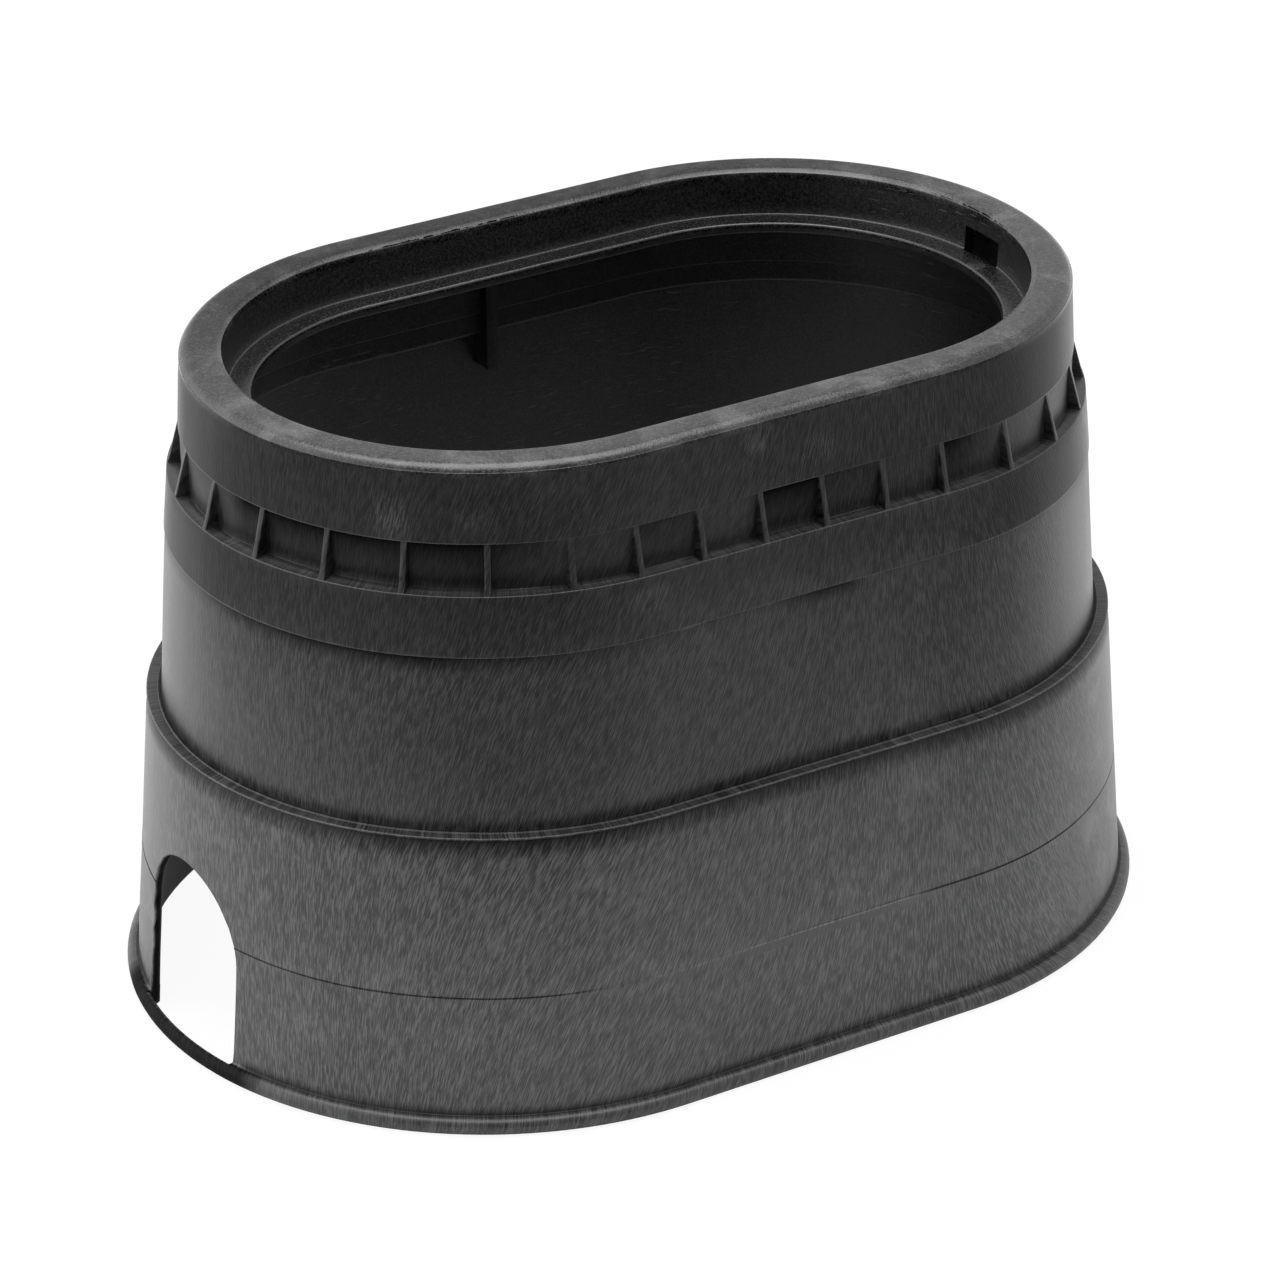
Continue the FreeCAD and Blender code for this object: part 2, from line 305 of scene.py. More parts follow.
def girth_at(degrees):
    """Distance round the oval of a facing on one of its round ends."""
    degrees = np.asarray(degrees, float)
    first = SPINE_HALF + END_GIRTH * (degrees - 90) / 180
    second = 3 * SPINE_HALF + END_GIRTH * (degrees - 90) / 180
    return np.where(degrees <= 270, first, second)


def end_facing(end_deg, y, r):
    """Facing, in radians, of a point at sideways place y and radius r on a round end."""
    tilt = np.arcsin(np.clip(y / r, -1, 1))
    return math.radians(end_deg) + (-tilt if end_deg == 180 else tilt)


def fin_places():
    """Distances round the oval of the gussets, at both ends and on both sides."""
    ends = np.concatenate([girth_at(180 + END_FINS), girth_at(360 + END_FINS)])
    over = np.degrees(np.arcsin(np.clip((-SPINE_HALF - SIDE_FIN_X) / GIRTH_R, 0, 1)))
    on_end = SIDE_FIN_X < -SPINE_HALF
    front = np.where(on_end, girth_at(270 - over), TURNS[2] + SIDE_FIN_X + SPINE_HALF)
    back = np.where(on_end, girth_at(90 + over), np.mod(-SIDE_FIN_X, GIRTH))
    return np.concatenate([ends, front, back])


class Columns:
    """Where the section stands round the oval, and how far a gusset or rib stands out there."""

    def __init__(self):
        """Even columns, closer at the round ends, with extra ones for every fin, rib and slot."""
        fins = fin_places()
        ribs = np.array([0.0, TURNS[2] + SPINE_HALF])
        slots = girth_at(np.array([180 - SLOT_DEG, 180 + SLOT_DEG, 360 - SLOT_DEG, 360 + SLOT_DEG]))
        round_ends = np.concatenate([girth_at(np.arange(90, 270.1, 2.5)),
                                     girth_at(np.arange(272.5, 450.1, 2.5))])
        sides = np.linspace(-SPINE_HALF, SPINE_HALF, 20)[1:-1]
        even = np.concatenate([round_ends, [TURNS[3]], TURNS[2] + SPINE_HALF + sides, sides]) % GIRTH
        gap = np.ones(len(even), bool)
        for places, room in ((fins, 3.0), (ribs, 5.0), (slots, 1.3)):
            off = np.abs(even[:, None] - places[None, :])
            gap &= np.minimum(off, GIRTH - off).min(1) > room
        even = even[gap]
        s = np.concatenate([even, slots, (fins[:, None] + FIN_SIDES).ravel(),
                            (ribs[:, None] + RIB_SIDES).ravel()]) % GIRTH
        plain = np.zeros(len(even) + len(slots))
        fin = np.concatenate([plain, np.tile(FIN_HEIGHTS, len(fins)), np.zeros(len(ribs) * len(RIB_SIDES))])
        rib = np.concatenate([plain, np.zeros(len(fins) * len(FIN_SIDES)), np.tile(RIB_HEIGHTS, len(ribs))])
        order = np.argsort(s)
        self.s, self.fin, self.rib = s[order], fin[order], rib[order]
        self.count = len(s)

    def near(self, degrees):
        """Number of the column nearest to a facing on a round end."""
        return int(np.argmin(np.abs(self.s - girth_at(degrees))))


def smooth(x):
    """Rises from 0 to 1 as x does, flat at both ends."""
    x = np.clip(x, 0, 1)
    return x * x * (3 - 2 * x)


def body_grid(section, columns, shape):
    """Radius, height and shade of the moulded body on the grid of columns and rows.

    A gusset is the same section with its groove filled to a straight slope, and a rib
    the same with its hollow filled to an upright face, so each stands out where its
    columns say. The groove's depth, the band's step and the sinks vary round the oval.
    Painted shade grows towards the head of each groove, step and sink, and darkens the finish there.
    """
    rows = section.rows
    r, z = (np.broadcast_to(rows[:, k], (columns.count, section.count)).copy() for k in (0, 1))
    first, last = section.first, section.last
    # Painted shade inside, in the corner above the bead, on the strap near the cut-out, on the back of the
    # rim, at the ends of the collar and band and on the shoulder ledge, but none on the lid seat
    near_hole = 1 - smooth((np.abs(columns.s - girth_at(180)) - STRAP_DARK) / STRAP_FADE)[:, None]
    backward = np.maximum(np.sin(spine_place(columns.s)[1]), 0)[:, None]
    ends = np.interp(columns.s, END_SHADE_AT, END_SHADE)[:, None]
    shade = np.zeros_like(r)
    for start, end, dark in (("mouth_guard", "foot_edge", INNER_SHADE), ("seat_root", "seat_nose", 0.0),
                             ("skirt_foot", "skirt_foot", FOOT_SHADE),
                             ("bead_base", "bead_top", STRAP_SHADE * near_hole),
                             ("crown", "mouth_top", RIM_SHADE * backward),
                             ("collar_guard", "crown_low", ends)):
        shade[:, section.part(start, end)] = dark
    shade[:, section.span(last["lip"], first["shoulder_root"])] = LEDGE_SHADE
    shade[:, section.span(first["band_guard"], first["shelf_edge"])] = BAND_END_SHADE * ends

    groove = np.interp(columns.s, GROOVE_AT, GROOVE)[:, None]
    neck = section.part("neck_foot", "collar_foot")
    r[:, neck] = COLLAR_R - groove * (COLLAR_R - r[:, neck])
    bay = section.part("neck_foot", "neck_top")
    up = (rows[bay, 1] - SHELF_Z) / (COLLAR_Z - SHELF_Z)
    # Painted shade in the groove, darkest under the collar, not on the gussets
    shade[:, bay] = BAY_SHADE * (1 - columns.fin[:, None]) * np.minimum(groove, 1) * (0.35 + 0.65 * up ** 2)

    step = np.interp(columns.s, STEP_AT, STEP)[:, None]
    below = section.part("step_sink", "step_in")
    rise = (rows[below, 1] - rows[below[0], 1]) / (BAND_Z - rows[below[0], 1])
    r[:, below] -= (step - (band_r(BAND_Z) - upper_r(BAND_Z))) * rise ** 2
    # Painted shade under the band's step
    shade[:, below] = STEP_SHADE * np.clip(step / max(STEP), 0, 1) * rise ** 1.5

    sunk = section.part("sink_foot", "lip_under")
    share = (rows[sunk, 1] - rows[sunk[0], 1]) / (rows[sunk[-1], 1] - rows[sunk[0], 1])
    r[:, sunk] -= shape.sink_depth / MM * share ** 2
    # Painted shade in the skirt's sink, darkest below the lip
    shade[:, sunk] = SINK_SHADE * share

    fin = section.span(last["shelf_edge"], first["fin_tip"])
    along = section.along(fin) / section.along(fin)[-1]
    for grid in (r, z):
        slope = grid[:, fin[:1]] + (grid[:, fin[-1:]] - grid[:, fin[:1]]) * along
        grid[:, fin] += columns.fin[:, None] * (slope - grid[:, fin])

    rib = section.part("rib_head", "rib_foot")
    corner = first["shelf_under_out"] - rib[0]
    along = section.along(rib)
    down = np.minimum(along / along[corner], 1)
    out = np.maximum((along - along[corner]) / (along[-1] - along[corner]), 0)
    face_r = RIB_R + (rows[rib[-1], 0] - RIB_R) * out
    face_z = RIM_UNDER_Z + (RIB_FOOT_Z - RIM_UNDER_Z) * down
    r[:, rib] += columns.rib[:, None] * (face_r - r[:, rib])
    z[:, rib] += columns.rib[:, None] * (face_z - z[:, rib])
    return r, z, shade


def quads(grid):
    """Quads of a grid of vertex numbers, columns by rows."""
    return np.stack([grid[:-1, :-1], grid[1:, :-1], grid[1:, 1:], grid[:-1, 1:]], -1).reshape(-1, 4)


def rim_loop(cols, rows):
    """Grid places round a rectangle of cells: the foot row, up one side, over the top, down the other."""
    low, high = rows[0], rows[-1]
    foot = [(c, low) for c in cols]
    up = [(cols[-1], k) for k in rows[1:]]
    over = [(c, high) for c in cols[-2::-1]]
    down = [(cols[0], k) for k in rows[-2:0:-1]]
    return np.array(foot + up + over + down)


class Hole:
    """One side of an arched pipe cut-out: a ring of cells between the arch and a rectangle of the grid."""

    EDGE = np.array([0.0, 0.45, 1.3])
    SPREAD = np.array([0.3, 0.6])

    def __init__(self, section, columns, end_deg, rows, strap, plain):
        """Work out where the arch's edge lies on this side.

        rows run from the strap to over the arch. strap is how far along them the cut
        starts, and plain is a row past the roundings, from which height grows row by row.
        """
        out = 1 if end_deg == 180 else -1
        first, last = sorted(columns.near(end_deg + deg * out) for deg in HOLE_DEG)
        self.cols = np.arange(first, last + 1)
        self.rows, self.end = rows, end_deg
        self.loop = rim_loop(self.cols, rows)
        along = section.along(rows)
        self.along, self.section_rows = along, section.rows[rows]
        row_q = dict(zip(rows.tolist(), along))
        q = np.array([row_q[k] for k in self.loop[:, 1]])
        zs = self.section_rows[:, 1]
        plain_q = along[plain]
        lift = np.where(q < plain_q, strap + q / plain_q * (plain_q - strap), q)
        level = np.interp(lift, along[plain:], zs[plain:])
        left_y, right_y = HOLE_Y - HOLE_HALF, HOLE_Y + HOLE_HALF
        wide, tall = len(self.cols), len(rows)
        run = np.arange(len(self.loop))
        s = columns.s[self.cols]
        facing = np.degrees(spine_place(s)[1]) - end_deg
        y_of = np.sin(np.radians(facing)) * (-1 if end_deg == 180 else 1)
        start_y, finish_y = (left_y, right_y) if y_of[0] < y_of[-1] else (right_y, left_y)
        way = np.sign(finish_y - start_y)
        share = (s - s[0]) / (s[-1] - s[0])
        arch = np.sqrt(np.maximum(HOLE_HALF ** 2 - np.maximum(level - HOLE_SPRING_Z, 0) ** 2, 0))
        side = np.where(run < wide + tall - 1, way, -way)
        y = HOLE_Y + side * arch
        y[:wide] = start_y + (finish_y - start_y) * share
        lift[:wide] = strap
        over_top = (run >= wide + tall - 2) & (run < 2 * wide + tall - 2)
        capped = (run >= wide) & ((level > HOLE_CAP_Z) | over_top)
        cap = np.flatnonzero(capped)
        cap_from = math.asin((HOLE_CAP_Z - HOLE_SPRING_Z) / HOLE_HALF)
        angle = cap_from + (math.pi - 2 * cap_from) * self.cap_run(cap, s)
        y[cap] = HOLE_Y + way * HOLE_HALF * np.cos(angle)
        lift[cap] = np.interp(HOLE_SPRING_Z + HOLE_HALF * np.sin(angle), zs[plain:], along[plain:])
        if end_deg == 180 and rows[0] == section.first["bead_top"]:
            jamb = (run >= wide) & ~capped & (y > HOLE_Y)
            share = np.clip((level - SCALLOP_LOW) / (SCALLOP_HIGH - SCALLOP_LOW), 0, 1)
            bite = np.abs(np.sin(math.pi * (level - SCALLOP_LOW) / SCALLOP_PITCH)) ** 0.7
            y = y - jamb * SCALLOP * bite * np.sin(math.pi * share)
        self.y, self.q, self.loop_q = y, lift, q

    def cap_run(self, cap, s):
        """Share of the way over the top of the rectangle for each of its capped places."""
        across = dict(zip(self.cols.tolist(), s * SKIRT_OVER_GIRTH))
        up = dict(zip(self.rows.tolist(), self.along))
        place = np.array([(across[c], up[k]) for c, k in self.loop[cap].tolist()])
        steps = np.concatenate([[0.0], np.cumsum(np.linalg.norm(np.diff(place, axis=0), axis=1))])
        pad = steps[-1] / len(cap)
        return (steps + pad) / (steps[-1] + 2 * pad)

    def on_wall(self, y, q):
        """Radius, height and facing of a point at sideways place y, q along the rows."""
        r = np.interp(q, self.along, self.section_rows[:, 0])
        z = np.interp(q, self.along, self.section_rows[:, 1])
        return r, z, end_facing(self.end, y, r)

    def ring(self, loop_y):
        """Radii, heights and facings of the rings between the arch and the rectangle."""
        reach = np.hypot(loop_y - self.y, self.loop_q - self.q)
        spread = np.broadcast_to(self.SPREAD[:, None], (len(self.SPREAD), len(reach)))
        steps = np.concatenate([self.EDGE[:, None] / reach, spread])
        steps = np.sort(np.clip(steps, 0, 0.9), axis=0)
        y = self.y + (loop_y - self.y) * steps
        q = self.q + (self.loop_q - self.q) * steps
        return self.on_wall(y, q)


class Body:
    """Vertices and quads of the moulded body, put together from the grid, the holes and the slots."""

    def __init__(self, shape):
        self.section = Section(section_corners())
        self.columns = Columns()
        self.shape = shape
        r, z, shade = body_grid(self.section, self.columns, shape)
        place, facing = spine_place(self.columns.s)
        self.r, self.z = [r.ravel()], [z.ravel()]
        self.place = [np.repeat(place, self.section.count)]
        self.facing = [np.repeat(facing, self.section.count)]
        self.s = [np.repeat(self.columns.s, self.section.count)]
        within = np.zeros(self.section.count)
        within[self.section.part("mouth_guard", "foot_edge")] = 1.0
        self.inside, self.shade = [np.tile(within, self.columns.count)], [shade.ravel()]
        n = self.columns.count
        self.grid = np.arange(n * self.section.count).reshape(n, self.section.count)
        self.total = self.grid.size
        self.keep = np.ones(self.grid.shape, bool)
        self.extra = []
        for end_deg in (180, 360):
            self.cut_arch(end_deg)
            self.cut_slot(end_deg)
        ring = np.vstack([self.grid, self.grid[:1]])
        ring = np.hstack([ring, ring[:, :1]])
        self.faces = np.concatenate([quads(ring)[self.keep.ravel()]] + self.extra)

    def add(self, r, z, place, facing, inside, shade):
        """Put new vertices in and give their numbers."""
        shape = np.broadcast_shapes(np.shape(r), np.shape(z), np.shape(facing))
        s = girth_at(np.degrees(facing))
        for store, value in ((self.r, r), (self.z, z), (self.place, place), (self.facing, facing),
                             (self.s, s), (self.inside, inside), (self.shade, shade)):
            store.append(np.broadcast_to(value, shape).ravel())
        numbers = self.total + np.arange(int(np.prod(shape))).reshape(shape)
        self.total += numbers.size
        return numbers

    def drop(self, cols, rows):
        """Leave out the cells between the given columns and rows."""
        count = self.section.count
        steps = [(a if (a + 1) % count == b else b) for a, b in zip(rows[:-1], rows[1:])]
        self.keep[np.ix_(cols[:-1], np.array(steps))] = False

    def band_of(self, rings):
        """Quads between loops of vertex numbers, each loop closed on itself."""
        loops = np.hstack([rings, rings[:, :1]])
        self.extra.append(quads(loops))

    def cut_arch(self, end_deg):
        """Open the pipe cut-out: a ring of cells on each face of the wall, joined through its thickness."""
        sec = self.section
        outer_rows = sec.part("bead_top", "hole_over")
        inner_rows = sec.part("hole_over_in", "strap_in")[::-1]
        if len(outer_rows) != len(inner_rows):
            raise RuntimeError("the two faces of the cut-out need as many rows as each other")
        place = -SPINE_HALF if end_deg == 180 else SPINE_HALF
        arc = sec.part("bead_top", "bead_top")
        outer_strap = np.interp(STRAP_Z, sec.rows[arc, 1], sec.along(arc))
        plain = sec.last["skirt_foot"] - sec.first["bead_top"]
        inner_strap = sec.rows[inner_rows[0], 0] - STRAP_R
        rings, edges = [], []
        for rows, strap in ((outer_rows, outer_strap), (inner_rows, inner_strap)):
            hole = Hole(sec, self.columns, end_deg, rows, strap, plain)
            numbers = self.grid[hole.loop[:, 0], hole.loop[:, 1]]
            r = np.concatenate(self.r)[numbers]
            facing = np.concatenate(self.facing)[numbers]
            loop_y = r * np.sin(facing)
            ring_r, ring_z, ring_facing = hole.ring(loop_y)
            inward = -1 if rows is outer_rows else 1
            ring_r[0] += inward * HOLE_EASE * (ring_z[0] > BEAD_Z + 1.5)
            within = 0.0 if rows is outer_rows else 1.0
            # Painted shade on the outer strap at the near end, and inside the cut-out
            strap_dark = STRAP_SHADE * (end_deg == 180) * (ring_z < BEAD_Z)
            dark = strap_dark if rows is outer_rows else INNER_SHADE
            ring_numbers = self.add(ring_r, ring_z, place, ring_facing, within, dark)
            self.band_of(np.vstack([ring_numbers, numbers]))
            self.drop(hole.cols, rows)
            rings.append(ring_numbers[0])
            edges.append((ring_r[0], ring_z[0], ring_r[0] * np.sin(ring_facing[0])))
        foot = len(hole.cols)
        loops = [rings[0]]
        for share, strap_r, strap_z in zip((0.25, 0.5, 0.75), *STRAP_ROUND):
            r, z, y = (a + (b - a) * share for a, b in zip(*edges))
            r[:foot], z[:foot] = strap_r, strap_z
            # Painted shade on the jamb through the wall, none on the strap
            jamb = np.where(np.arange(len(r)) < foot, 0.0, 1.0)
            loops.append(self.add(r, z, place, end_facing(end_deg, y, r), jamb, CUT_SHADE * jamb))
        self.band_of(np.vstack([*loops, rings[1]]))

    def cut_slot(self, end_deg):
        """Open the latch slot: drop the cells on both faces of the recess wall and join their edges."""
        sec = self.section
        first, last = self.columns.near(end_deg - SLOT_DEG), self.columns.near(end_deg + SLOT_DEG)
        cols = np.arange(first, last + 1)
        mouth = sec.part("slot_head", "seat_root")
        channel = sec.part("slot_sill", "slot_lintel")
        if len(mouth) != len(channel):
            raise RuntimeError("the two faces of the slot need as many rows as each other")
        self.drop(cols, mouth)
        self.drop(cols, channel)
        near = rim_loop(cols, mouth)
        far = rim_loop(cols, channel[::-1])
        self.band_of(np.stack([self.grid[near[:, 0], near[:, 1]], self.grid[far[:, 0], far[:, 1]]]))

    def marks(self):
        """Values at the vertices for the finish: inside, shade and lap.

        lap is the place on a circle as long as the oval is round, with the height, in metres.
        """
        turn = np.concatenate(self.s) / LAP_R
        lap = MM * np.stack([LAP_R * np.cos(turn), LAP_R * np.sin(turn), np.concatenate(self.z)], 1)
        return {"inside": np.concatenate(self.inside), "shade": np.concatenate(self.shade), "lap": lap}

    def points(self):
        """Vertices in metres: out from the spine by the radius, then warped a little as mouldings are."""
        r, z, place, facing = (np.concatenate(x) for x in (self.r, self.z, self.place, self.facing))
        step = self.shape.parting_step / MM
        outside = np.abs(r - skirt_r(z)) < 1.0
        even = np.stack([place + r * np.cos(facing), r * np.sin(facing), z], 1)
        fold = np.interp(z, PARTING_Z + PARTING_OFF, [0, 1, -1, 0])
        r = r + outside * step * 0.5 * fold * (0.7 + 0.5 * waves(even, *PARTING_WAVES))
        grown, faded = (smooth((z - start) / over) for start, over in (CALM_FOOT, CALM_RIM))
        calm = grown * (1 - 0.7 * faded)
        r = r + self.shape.wall_wave / MM * waves(even, *WALL_WAVES) * calm
        x = place + r * np.cos(facing)
        return MM * np.stack([x, r * np.sin(facing), np.maximum(z, 0.0)], 1)


def waves(points, seed, count, shortest, longest):
    """Smooth unevenness from -1 to 1: a sum of seeded plane sine waves over the root of their number."""
    draw = np.random.RandomState(seed)
    turn = unit(draw.normal(size=(count, 3)))
    lengths = draw.uniform(shortest, longest, count)
    phase = draw.uniform(0, 2 * math.pi, count)
    total = np.sin(points @ (turn.T * (2 * math.pi / lengths)) + phase).sum(1)
    return np.clip(total / math.sqrt(count), -1, 1)


def flash_strip(start, end, radius, height, lean, longest, seed):
    """Vertices and quads of a ragged strip of flash on an edge of the oval.

    Its root follows the edge from one distance round the oval to another. Its tip stands off
    along lean, a (radius, height) direction, by a torn width: seeded steps times half a sine wave.
    """
    draw = np.random.RandomState(seed)
    s = np.arange(start, end, 0.8)
    torn = np.repeat(draw.uniform(0.15, 1.0, len(s) // 3 + 1), 3)[:len(s)] * draw.uniform(0.7, 1.0, len(s))
    reach = longest * torn * np.sin(math.pi * np.linspace(0.04, 0.96, len(s)))
    side = np.array([-lean[1], lean[0]])
    place, facing = spine_place(s)
    corners = []
    for share, thick in ((-0.3, 0.25), (1.0, 0.09), (1.0, -0.09), (-0.3, -0.25)):
        out = np.where(share > 0, reach * share, share)
        r = radius + out * lean[0] + thick * side[0]
        z = height + out * lean[1] + thick * side[1]
        corners.append(np.stack([place + r * np.cos(facing), r * np.sin(facing), z], 1))
    points = MM * np.stack(corners, 1).reshape(-1, 3)
    grid = np.arange(len(points)).reshape(len(s), 4)
    ends = np.stack([grid[0], grid[-1]])
    return points, np.concatenate([quads(np.hstack([grid, grid[:, :1]])), ends])


def make_piece(name, points, faces, marks, material, crease):
    """One closed mesh object at the origin, smooth but for edges sharper than the crease.

    marks are numbers or vectors at the vertices for the finish, each under its attribute's name.
    """
    used, faces = np.unique(faces, return_inverse=True)
    mesh = bpy.data.meshes.new(name)
    mesh.from_pydata(points[used].tolist(), [], faces.reshape(-1, 4).tolist())
    work = bmesh.new()
    work.from_mesh(mesh)
    bmesh.ops.recalc_face_normals(work, faces=work.faces)
    work.to_mesh(mesh)
    work.free()
    mesh.shade_smooth()
    mesh.set_sharp_from_angle(angle=crease)
    mesh.materials.append(material)
    for mark, values in marks.items():
        kind, key = ("FLOAT", "value") if values.ndim == 1 else ("FLOAT_VECTOR", "vector")
        mesh.attributes.new(mark, kind, "POINT").data.foreach_set(key, values[used].ravel())
    if mesh.validate(verbose=False):
        raise RuntimeError(f"{name}: the mesh had faces that could not stand")
    piece = bpy.data.objects.new(name, mesh)
    bpy.context.scene.collection.objects.link(piece)
    return piece


class Value:
    """A number in a material's nodes. Arithmetic on it adds Math nodes."""

    def __init__(self, finish, socket):
        self.finish, self.socket = finish, socket

    def math(self, operation, *others, clamp=False):
        """A Math node on this value and up to two more."""
        return self.finish.node("ShaderNodeMath", {"operation": operation, "use_clamp": clamp},
                                dict(enumerate([self, *others])))

    def __add__(self, other):
        return self.math("ADD", other)

    __radd__ = __add__

    def __sub__(self, other):
        return self.math("SUBTRACT", other)

    def __mul__(self, other):
        return self.math("MULTIPLY", other)

    __rmul__ = __mul__

    def __truediv__(self, other):
        return self.math("DIVIDE", other)

    def __pow__(self, other):
        return self.math("POWER", other)

    def __rsub__(self, other):
        return self.finish.node("ShaderNodeMath", {"operation": "SUBTRACT"}, {0: other, 1: self})

    def ramp(self, low, high):
        """0 below low, 1 above high, and smooth between."""
        return self.finish.node("ShaderNodeMapRange", {"interpolation_type": "SMOOTHSTEP"},
                                {"Value": self, "From Min": low, "From Max": high})

    def between(self, rise, fall):
        """1 between a rising and a falling edge, each given by its two ends, and 0 outside them."""
        return self.ramp(*rise) * (1.0 - self.ramp(*fall))


class Finish:
    """One material, or the world, and its nodes."""

    def __init__(self, name, store=None):
        self.material = (bpy.data.materials if store is None else store).new(name)
        self.material.use_nodes = True
        self.tree = self.material.node_tree
        self.tree.nodes.clear()

    def node(self, kind, settings=None, inputs=None, output=0):
        """A node of that kind: its settings made, its sockets filled or linked, and one output of it."""
        node = self.tree.nodes.new(kind)
        for key, value in (settings or {}).items():
            setattr(node, key, value)
        for key, value in (inputs or {}).items():
            if isinstance(value, Value):
                self.tree.links.new(value.socket, node.inputs[key])
            else:
                node.inputs[key].default_value = value
        return Value(self, node.outputs[output]) if node.outputs else None

    def noise(self, place, scale, detail=2.0, roughness=0.5, warp=0.0):
        """Cloudy noise from 0 to 1 at a place, with scale in cycles a metre."""
        return self.node("ShaderNodeTexNoise", {"noise_dimensions": "3D"},
                         {"Vector": place, "Scale": scale, "Detail": detail,
                          "Roughness": roughness, "Distortion": warp})

    def vector(self, operation, first, second, output=0):
        """A Vector Math node on two vectors. Its output 1 is a number."""
        return self.node("ShaderNodeVectorMath", {"operation": operation}, {0: first, 1: second}, output)

    def axes(self, place, *which):
        """Some of a vector's X, Y and Z, asked for as 0, 1 and 2."""
        return [self.node("ShaderNodeSeparateXYZ", None, {0: place}, output=k) for k in which]

    def principled(self, inputs):
        """A Principled shader with some of its sockets filled or linked."""
        return self.node("ShaderNodeBsdfPrincipled", None, inputs)

    def mix(self, share, first, second):
        """Colour between two others."""
        return self.node("ShaderNodeMix", {"data_type": "RGBA"}, {0: share, 6: first, 7: second}, output=2)


def grey(level, tint):
    """Colour of a level, with a tint of (red, green, blue) shares."""
    return (level * tint[0], level * tint[1], level * tint[2], 1.0)


# A shader with no gloss
MATT = {"Roughness": 1.0, "Specular IOR Level": 0.0}
# Heights over which the finish changes, in metres; the first three step the painted light by height
FOOT_EDGE, SHOULDER_EDGE, STEP_EDGE, RIM_EDGE = (0.006, 0.012), (0.125, 0.16), (0.21, 0.24), (0.2985, 0.3025)
SEAT_EDGES, SMEAR_EDGES = ((0.2805, 0.2815), (0.2835, 0.2845)), ((0.0596, 0.0606), (0.0638, 0.0642))
# Places along X between which the parting line has a painted highlight, and between which it is smeared
SEAM_HIGHLIGHT_EDGES, SMEARED_EDGES = ((-0.14, -0.095), (0.04, 0.06)), ((-0.06, -0.03), (0.04, 0.06))
SEAM_EDGE = (0.0002, 0.00045)
# Noise in cycles a metre, and the same for level dashes along X, Y and Z
SPECK_SCALE, CLOUD_SCALE, DRIFT_SCALE, DASH_SCALE = 900.0, 42.0, 9.0, (90.0, 90.0, 650.0)
# Tone inside, darkened there as painted shade, and the level of the lightest colour
INSIDE_PAINTED_TONE, LIGHTEST = 0.45, 4.0
# Lighter flow marks in the plastic: middle in metres, half width, half height and strength
FLOW_MARKS = (
    ((-0.1751, -0.0908, 0.2790), 0.013, 0.017, 0.8),
    ((-0.0190, -0.1339, 0.2940), 0.012, 0.009, 0.6),
    ((0.0110, -0.1346, 0.2820), 0.014, 0.010, 0.45),
    ((-0.0791, -0.1421, 0.2375), 0.020, 0.008, 0.4),
    ((-0.1491, -0.1130, 0.2810), 0.012, 0.010, 0.3),
)
# Lean of the grain: it swings from one side to the other along X, in metres
LEAN_MIDDLE, LEAN_SWING = -0.08, 0.28


def drawn_grain(finish, look, place):
    """Streak noise from 0 to 1, drawn out along the height, whose lean swings along X.

    The noise is laid on the lap circle and twisted about Z by an amount that grows with height,
    so its streaks lean. A cosine of X sets how much. The twist starts afresh from the middle of
    the skirt, of the upper wall and of the band and collar, so that it never grows large.
    """
    x, z = finish.axes(place, 0, 2)
    lap = finish.node("ShaderNodeAttribute", {"attribute_name": "lap"}, output=1)
    swing = ((x - LEAN_MIDDLE) * (math.pi / LEAN_SWING)).math("COSINE")
    rise, middle = z, 0.0
    for low, high in ((0.0, SHOULDER_Z), (SHOULDER_Z, BAND_Z), (BAND_Z, HEIGHT)):
        rise = rise - z.math("GREATER_THAN", low * MM) * (0.5 * (low + high) * MM - middle)
        middle = 0.5 * (low + high) * MM
    twist = swing * rise * (-math.tan(look.grain_lean) / (LAP_R * MM))
    turned = finish.node("ShaderNodeVectorRotate", {"rotation_type": "Z_AXIS"},
                         {"Vector": lap, "Angle": twist})
    drawn = finish.vector("MULTIPLY", turned, (1.0, 1.0, look.grain_stretch))
    return finish.noise(drawn, 1.0 / look.grain_width, 2.0, 0.6)


def flow_marks(finish, place, cloud):
    """Soft lighter marks: each falls off with distance from its middle, broken up by the clouds."""
    total = 0.0
    for middle, wide, high, strength in FLOW_MARKS:
        size = np.array([wide, wide, high])
        scaled = finish.vector("DIVIDE", place, size)
        reach = finish.vector("DISTANCE", scaled, middle / size, output=1)
        total = (1.0 - (reach + 0.8 * (cloud - 0.5)).ramp(0.25, 1.0)) * strength + total
    return total


